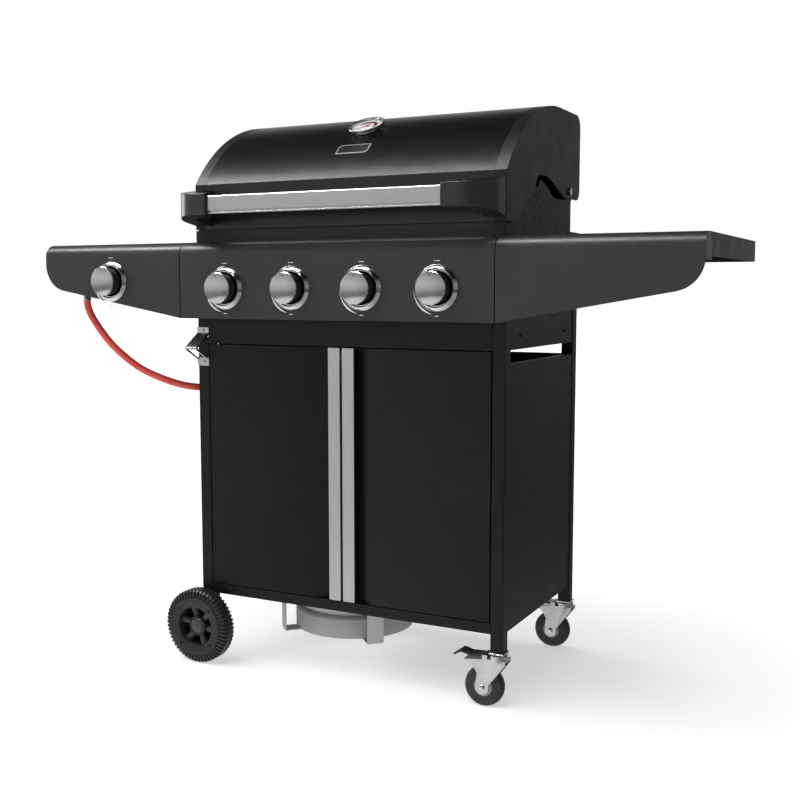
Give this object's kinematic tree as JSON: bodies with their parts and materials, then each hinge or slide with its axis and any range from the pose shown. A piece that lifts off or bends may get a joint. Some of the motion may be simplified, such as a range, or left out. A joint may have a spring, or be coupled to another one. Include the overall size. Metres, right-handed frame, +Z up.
{
  "type": "gas barbecue grill",
  "caption": "Black gas barbecue grill on a wheeled cabinet with a hinged curved lid, control knobs, side burner, doors, folded side tables, casters and a gas bottle.",
  "frame": {"origin": "on the floor, under the middle of the grill's overall box with the lid closed", "axes": "+X to the user's right along the grill's length, -Y towards the user, +Z up"},
  "size_m": [1.396, 0.546, 1.131],
  "materials": {
    "powder_coat": "satin black powder coat",
    "firebox_coat": "matt heat-resistant black",
    "lid_enamel": "smooth satin black enamel",
    "grey_coat": "light grey zinc paint",
    "bottle_coat": "grey paint",
    "brass": "turned brass",
    "black_plastic": "moulded black plastic",
    "cast_alloy": "die-cast zinc alloy",
    "red_rubber": "smooth red gas hose",
    "plain_steel": "plain stainless steel",
    "enamelled_iron": "matt enamelled cast iron",
    "bright_wire": "chromed wire",
    "chrome": "polished chrome",
    "bright_steel": "zinc-plated steel",
    "brushed_bar": "brushed along its length",
    "red_lacquer": "red lacquer",
    "brushed_strip": "brushed along its length",
    "wheel_plastic": "moulded dark plastic",
    "caster_rubber": "dark grey rubber tread on a plastic wheel",
    "pedal_coat": "black painted steel",
    "knob_metal": "satin cap with a bright edge"
  },
  "bodies": {
    "cart": {"legs_left": "powder_coat", "legs_right": "powder_coat", "bottom_shelf": "powder_coat", "side_panel_left": "powder_coat", "side_panel_right": "powder_coat", "back_panel": "powder_coat", "top_rails": "powder_coat", "bottle_cradle": "grey_coat", "gas_bottle": "bottle_coat", "bottle_valve": "brass", "regulator": "cast_alloy", "gas_hose": "red_rubber", "firebox": "firebox_coat", "burner_tubes": "plain_steel", "flame_tamers": "plain_steel", "cooking_grates": "enamelled_iron", "warming_rack": "bright_wire", "gas_manifold": "plain_steel", "control_panel": "powder_coat", "fascia_left": "powder_coat", "fascia_right": "powder_coat", "table_left": "powder_coat", "table_right": "powder_coat", "side_burner": "firebox_coat", "pot_support": "enamelled_iron", "knob_bezels": "chrome", "bottle_opener": "bright_steel", "wheel_bolts": "plain_steel", "caster_plates": "bright_steel", "screws_and_pins": "bright_steel"},
    "lid": {"lid_shell": "lid_enamel", "lid_ends": "lid_enamel", "handle_brackets": "black_plastic", "handle_bar": "brushed_bar", "thermometer": "chrome"},
    "needle": {"thermometer_needle": "red_lacquer"},
    "left_door": {"door_left": "powder_coat", "door_left_handle": "brushed_strip"},
    "right_door": {"door_right": "powder_coat", "door_right_handle": "brushed_strip"},
    "tray": {"grease_tray": "plain_steel"},
    "handwheel": {"bottle_handwheel": "black_plastic"},
    "front_wheel": {"wheel_front": "wheel_plastic"},
    "rear_wheel": {"wheel_rear": "wheel_plastic"},
    "front_fork": {"caster_fork_front": "bright_steel"},
    "rear_fork": {"caster_fork_rear": "bright_steel"},
    "front_caster": {"caster_wheel_front": "caster_rubber"},
    "rear_caster": {"caster_wheel_rear": "caster_rubber"},
    "front_pedal": {"brake_pedal_front": "pedal_coat"},
    "rear_pedal": {"brake_pedal_rear": "pedal_coat"},
    "stem_1": {"stem_1": "brass"},
    "knob_1": {"knob_1": "knob_metal"},
    "stem_2": {"stem_2": "brass"},
    "knob_2": {"knob_2": "knob_metal"},
    "stem_3": {"stem_3": "brass"},
    "knob_3": {"knob_3": "knob_metal"},
    "stem_4": {"stem_4": "brass"},
    "knob_4": {"knob_4": "knob_metal"},
    "stem_side": {"stem_side": "brass"},
    "knob_side": {"knob_side": "knob_metal"}
  },
  "joints": [
    {"name": "lid_hinge", "type": "hinge", "parent": "cart", "child": "lid", "pos_m": [0, 0.162, 0.972], "axis": [-1, 0, 0], "range_deg": [0, 80]},
    {"name": "needle_turn", "type": "hinge", "parent": "lid", "child": "needle", "pos_m": [0, -0.071, 1.08702], "axis": [0, 0.4893, -0.8721], "range_deg": [0, 270]},
    {"name": "left_door_hinge", "type": "hinge", "parent": "cart", "child": "left_door", "pos_m": [-0.303, -0.177, 0.412], "axis": [0, 0, -1], "range_deg": [0, 90]},
    {"name": "right_door_hinge", "type": "hinge", "parent": "cart", "child": "right_door", "pos_m": [0.303, -0.177, 0.412], "axis": [0, 0, 1], "range_deg": [0, 90]},
    {"name": "tray_slide", "type": "slide", "parent": "cart", "child": "tray", "axis": [0, 1, 0], "range_m": [0, 0.22]},
    {"name": "handwheel_turn", "type": "hinge", "parent": "cart", "child": "handwheel", "pos_m": [-0.087, 0.0215, 0.603], "axis": [0, 0, 1], "range_deg": [0, 720]},
    {"name": "front_wheel_roll", "type": "hinge", "parent": "cart", "child": "front_wheel", "pos_m": [-0.3265, -0.211, 0.077], "axis": [0, 1, 0], "continuous": true},
    {"name": "rear_wheel_roll", "type": "hinge", "parent": "cart", "child": "rear_wheel", "pos_m": [-0.3265, 0.254, 0.077], "axis": [0, 1, 0], "continuous": true},
    {"name": "front_swivel", "type": "hinge", "parent": "cart", "child": "front_fork", "pos_m": [0.3265, -0.1705, 0.096], "axis": [0, 0, 1], "continuous": true},
    {"name": "front_caster_roll", "type": "hinge", "parent": "front_fork", "child": "front_caster", "pos_m": [0.2995, -0.1705, 0.0385], "axis": [0, 1, 0], "continuous": true},
    {"name": "front_brake", "type": "hinge", "parent": "front_fork", "child": "front_pedal", "pos_m": [0.3045, -0.1705, 0.0985], "axis": [0, -1, 0], "range_deg": [0, 8]},
    {"name": "rear_swivel", "type": "hinge", "parent": "cart", "child": "rear_fork", "pos_m": [0.3265, 0.2135, 0.096], "axis": [0, 0, 1], "continuous": true},
    {"name": "rear_caster_roll", "type": "hinge", "parent": "rear_fork", "child": "rear_caster", "pos_m": [0.2995, 0.2135, 0.0385], "axis": [0, 1, 0], "continuous": true},
    {"name": "rear_brake", "type": "hinge", "parent": "rear_fork", "child": "rear_pedal", "pos_m": [0.3045, 0.2135, 0.0985], "axis": [0, -1, 0], "range_deg": [0, 8]},
    {"name": "knob_1_push", "type": "slide", "parent": "cart", "child": "stem_1", "axis": [0, 1, 0], "range_m": [0, 0.003], "stiffness_N_per_m": 500},
    {"name": "knob_1_turn", "type": "hinge", "parent": "stem_1", "child": "knob_1", "pos_m": [-0.2295, -0.258, 0.777], "axis": [0, -1, 0], "range_deg": [0, 180]},
    {"name": "knob_2_push", "type": "slide", "parent": "cart", "child": "stem_2", "axis": [0, 1, 0], "range_m": [0, 0.003], "stiffness_N_per_m": 500},
    {"name": "knob_2_turn", "type": "hinge", "parent": "stem_2", "child": "knob_2", "pos_m": [-0.0765, -0.258, 0.777], "axis": [0, -1, 0], "range_deg": [0, 180]},
    {"name": "knob_3_push", "type": "slide", "parent": "cart", "child": "stem_3", "axis": [0, 1, 0], "range_m": [0, 0.003], "stiffness_N_per_m": 500},
    {"name": "knob_3_turn", "type": "hinge", "parent": "stem_3", "child": "knob_3", "pos_m": [0.0765, -0.258, 0.777], "axis": [0, -1, 0], "range_deg": [0, 180]},
    {"name": "knob_4_push", "type": "slide", "parent": "cart", "child": "stem_4", "axis": [0, 1, 0], "range_m": [0, 0.003], "stiffness_N_per_m": 500},
    {"name": "knob_4_turn", "type": "hinge", "parent": "stem_4", "child": "knob_4", "pos_m": [0.2295, -0.258, 0.777], "axis": [0, -1, 0], "range_deg": [0, 180]},
    {"name": "knob_side_push", "type": "slide", "parent": "cart", "child": "stem_side", "axis": [0, 1, 0], "range_m": [0, 0.003], "stiffness_N_per_m": 500},
    {"name": "knob_side_turn", "type": "hinge", "parent": "stem_side", "child": "knob_side", "pos_m": [-0.518, -0.258, 0.791], "axis": [0, -1, 0], "range_deg": [0, 180]}
  ]
}
